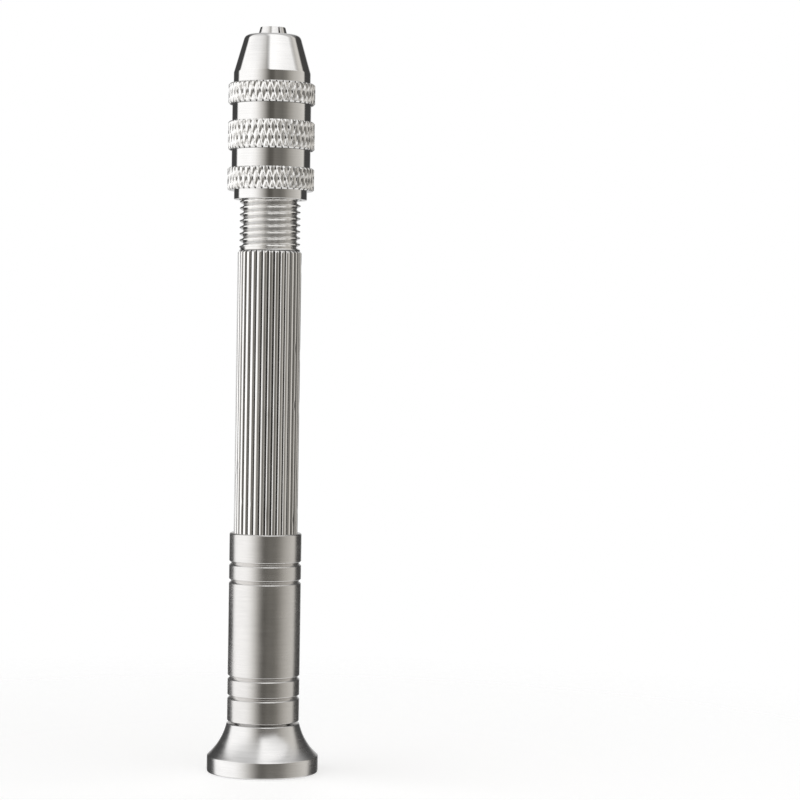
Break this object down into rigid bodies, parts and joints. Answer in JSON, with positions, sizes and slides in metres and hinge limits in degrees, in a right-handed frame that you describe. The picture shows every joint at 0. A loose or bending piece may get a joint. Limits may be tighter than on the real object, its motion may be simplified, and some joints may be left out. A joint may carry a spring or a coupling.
{
  "type": "pin vise drill",
  "caption": "Hand-held pin vise for small twist drills, with a fluted grip, a knurled screw chuck with sprung jaws, a nose cone and a swivel foot.",
  "frame": {"origin": "centre of the swivel foot's flat underside", "axes": "+Z along the tool, from the foot to the jaws; +X through the middle of chuck_jaw_1"},
  "size_m": [0.0174, 0.0174, 0.1162],
  "materials": {
    "satin_aluminium": "turned satin",
    "polished_plate": "polished plating over steel",
    "steel": "bright machined steel",
    "spring_wire": "drawn wire",
    "bronze": "sintered bronze"
  },
  "bodies": {
    "handle": {"barrel": "satin_aluminium", "fluted_grip": "satin_aluminium", "chuck_spindle": "steel", "stem_bush": "bronze", "stem_washer": "steel", "thrust_washer": "steel"},
    "foot": {"foot": "satin_aluminium", "foot_stem": "steel", "stem_circlip": "steel"},
    "nose": {"chuck_nose": "polished_plate"},
    "sleeve": {"chuck_sleeve": "polished_plate"},
    "jaw_1": {"chuck_jaw_1": "steel", "jaw_spring_1": "spring_wire"},
    "jaw_2": {"chuck_jaw_2": "steel", "jaw_spring_2": "spring_wire"},
    "jaw_3": {"chuck_jaw_3": "steel", "jaw_spring_3": "spring_wire"}
  },
  "joints": [
    {"name": "foot_spin", "type": "hinge", "parent": "handle", "child": "foot", "pos_m": [0, 0, 0.00765], "axis": [0, 0, 1], "continuous": true},
    {"name": "chuck_travel", "type": "slide", "parent": "handle", "child": "nose", "axis": [0, 0, 1], "range_m": [0, 0.0045]},
    {"name": "chuck_turn", "type": "hinge", "parent": "nose", "child": "sleeve", "pos_m": [0, 0, 0.098], "axis": [0, 0, 1], "range_deg": [0, 1620]},
    {"name": "jaw_1_slide", "type": "slide", "parent": "handle", "child": "jaw_1", "axis": [1, 0, 0], "range_m": [0, 0.00121], "deforming": ["jaw_spring_1"]},
    {"name": "jaw_2_slide", "type": "slide", "parent": "handle", "child": "jaw_2", "axis": [-0.5, 0.866, 0], "range_m": [0, 0.00121], "deforming": ["jaw_spring_2"]},
    {"name": "jaw_3_slide", "type": "slide", "parent": "handle", "child": "jaw_3", "axis": [-0.5, -0.866, 0], "range_m": [0, 0.00121], "deforming": ["jaw_spring_3"]}
  ],
  "couplings": [
    {"joint": "chuck_travel", "follows": "chuck_turn", "m_per_rad": 0.00015915},
    {"joint": "jaw_1_slide", "follows": "chuck_turn", "m_per_rad": 0.000042645},
    {"joint": "jaw_2_slide", "follows": "chuck_turn", "m_per_rad": 0.000042645},
    {"joint": "jaw_3_slide", "follows": "chuck_turn", "m_per_rad": 0.000042645}
  ]
}
